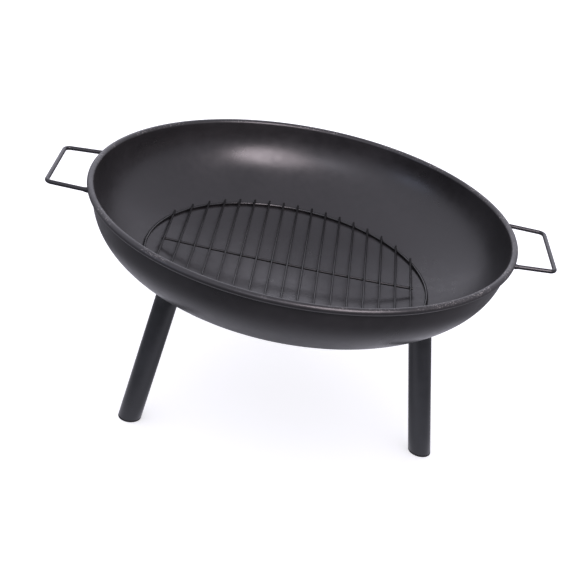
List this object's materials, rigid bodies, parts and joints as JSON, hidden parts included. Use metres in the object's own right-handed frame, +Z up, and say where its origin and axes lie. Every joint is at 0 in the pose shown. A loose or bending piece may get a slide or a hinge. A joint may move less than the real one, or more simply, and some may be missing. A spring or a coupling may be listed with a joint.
{
  "type": "fire pit with grate",
  "caption": "Round black steel fire bowl with a rolled rim, side handles, splayed tube legs and a loose round wire grate.",
  "frame": {"origin": "on the ground under the middle of the bowl, at the bottom centre of the bounding box", "axes": "+Z up; +X towards the right handle, along the line through both handles; +Y towards the back, where the single rear leg stands"},
  "size_m": [0.702, 0.6, 0.3154],
  "materials": {
    "satin_black_paint": "satin heat-resistant black paint",
    "grate_paint": "semi-matt black paint over drawn wire",
    "black_plug": "matt black moulded plug",
    "plated_steel": "zinc-plated steel"
  },
  "bodies": {
    "fire_bowl_on_legs": {"fire_bowl": "satin_black_paint", "handle_left": "satin_black_paint", "handle_right": "satin_black_paint", "leg_tube_front_left": "satin_black_paint", "leg_cap_front_left": "black_plug", "leg_stud_front_left": "plated_steel", "leg_nut_front_left": "plated_steel", "leg_tube_front_right": "satin_black_paint", "leg_cap_front_right": "black_plug", "leg_stud_front_right": "plated_steel", "leg_nut_front_right": "plated_steel", "leg_tube_rear": "satin_black_paint", "leg_cap_rear": "black_plug", "leg_stud_rear": "plated_steel", "leg_nut_rear": "plated_steel"},
    "grate": {"grate_ring": "grate_paint", "grate_bar_01": "grate_paint", "grate_bar_02": "grate_paint", "grate_bar_03": "grate_paint", "grate_bar_04": "grate_paint", "grate_bar_05": "grate_paint", "grate_bar_06": "grate_paint", "grate_bar_07": "grate_paint", "grate_bar_08": "grate_paint", "grate_bar_09": "grate_paint", "grate_bar_10": "grate_paint", "grate_bar_11": "grate_paint", "grate_bar_12": "grate_paint", "grate_bar_13": "grate_paint", "grate_bar_14": "grate_paint", "grate_bar_15": "grate_paint", "grate_bar_16": "grate_paint", "grate_bar_17": "grate_paint", "grate_cross_wire": "grate_paint"}
  },
  "joints": [
    {"name": "grate_lift", "type": "slide", "parent": "fire_bowl_on_legs", "child": "grate", "axis": [0, 0, 1], "range_m": [0, 0.25]}
  ]
}
